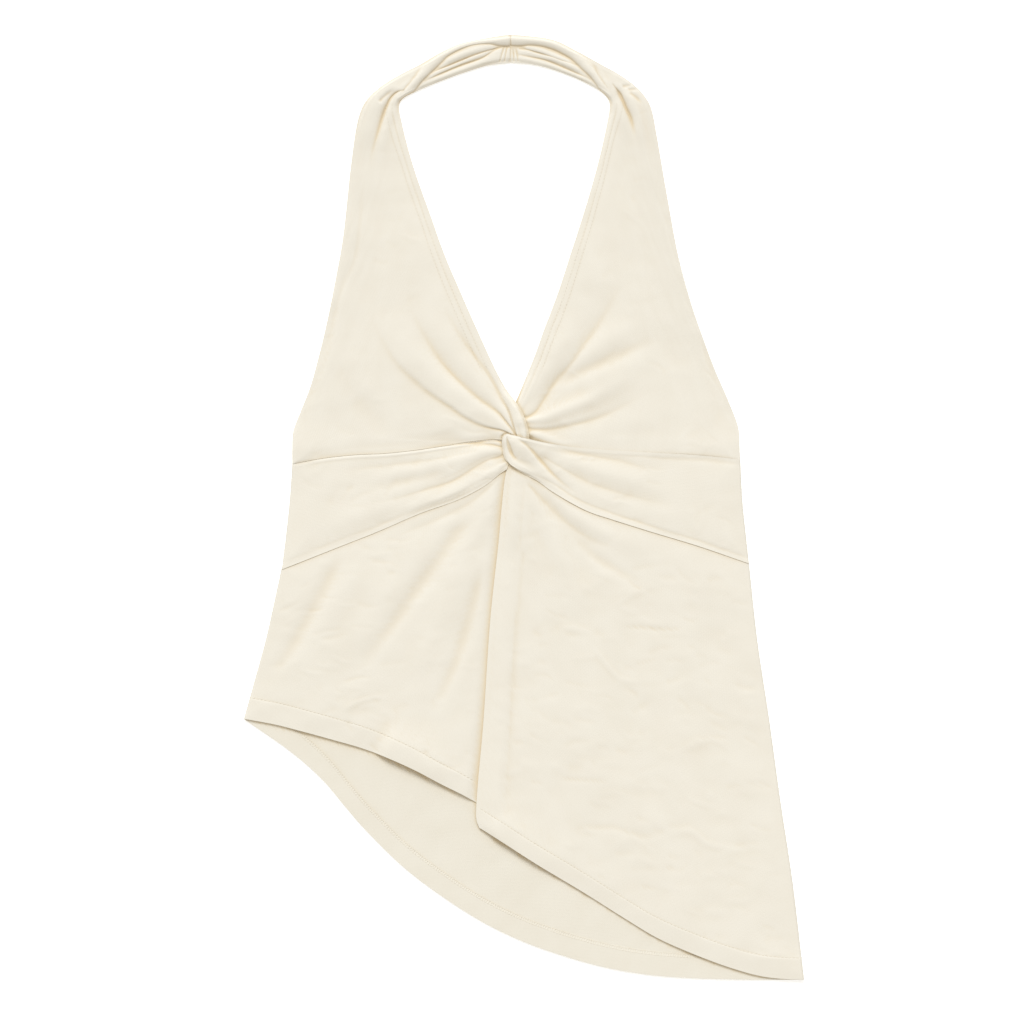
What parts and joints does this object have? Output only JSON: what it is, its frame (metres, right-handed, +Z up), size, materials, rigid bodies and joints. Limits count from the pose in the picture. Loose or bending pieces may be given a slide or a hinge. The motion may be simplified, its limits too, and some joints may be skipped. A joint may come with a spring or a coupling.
{
  "type": "halter neck top",
  "caption": "Sleeveless jersey halter neck top with a twisted front, an under-bust band and a long uneven hem, laid out flat with its front up.",
  "frame": {"origin": "centre of the laid-out outline, on the surface the top lies on", "axes": "+X to the right of a viewer looking down at the front, +Y towards the neck, +Z up out of the surface"},
  "size_m": [0.4476, 0.756, 0.0123],
  "materials": {
    "cream_jersey": "matt fine-knit stretch jersey, cream"
  },
  "bodies": {
    "root": {"back_panel": "cream_jersey", "front_skirt": "cream_jersey", "band_left": "cream_jersey", "bust_right": "cream_jersey", "bust_left": "cream_jersey", "band_right": "cream_jersey"}
  },
  "joints": []
}
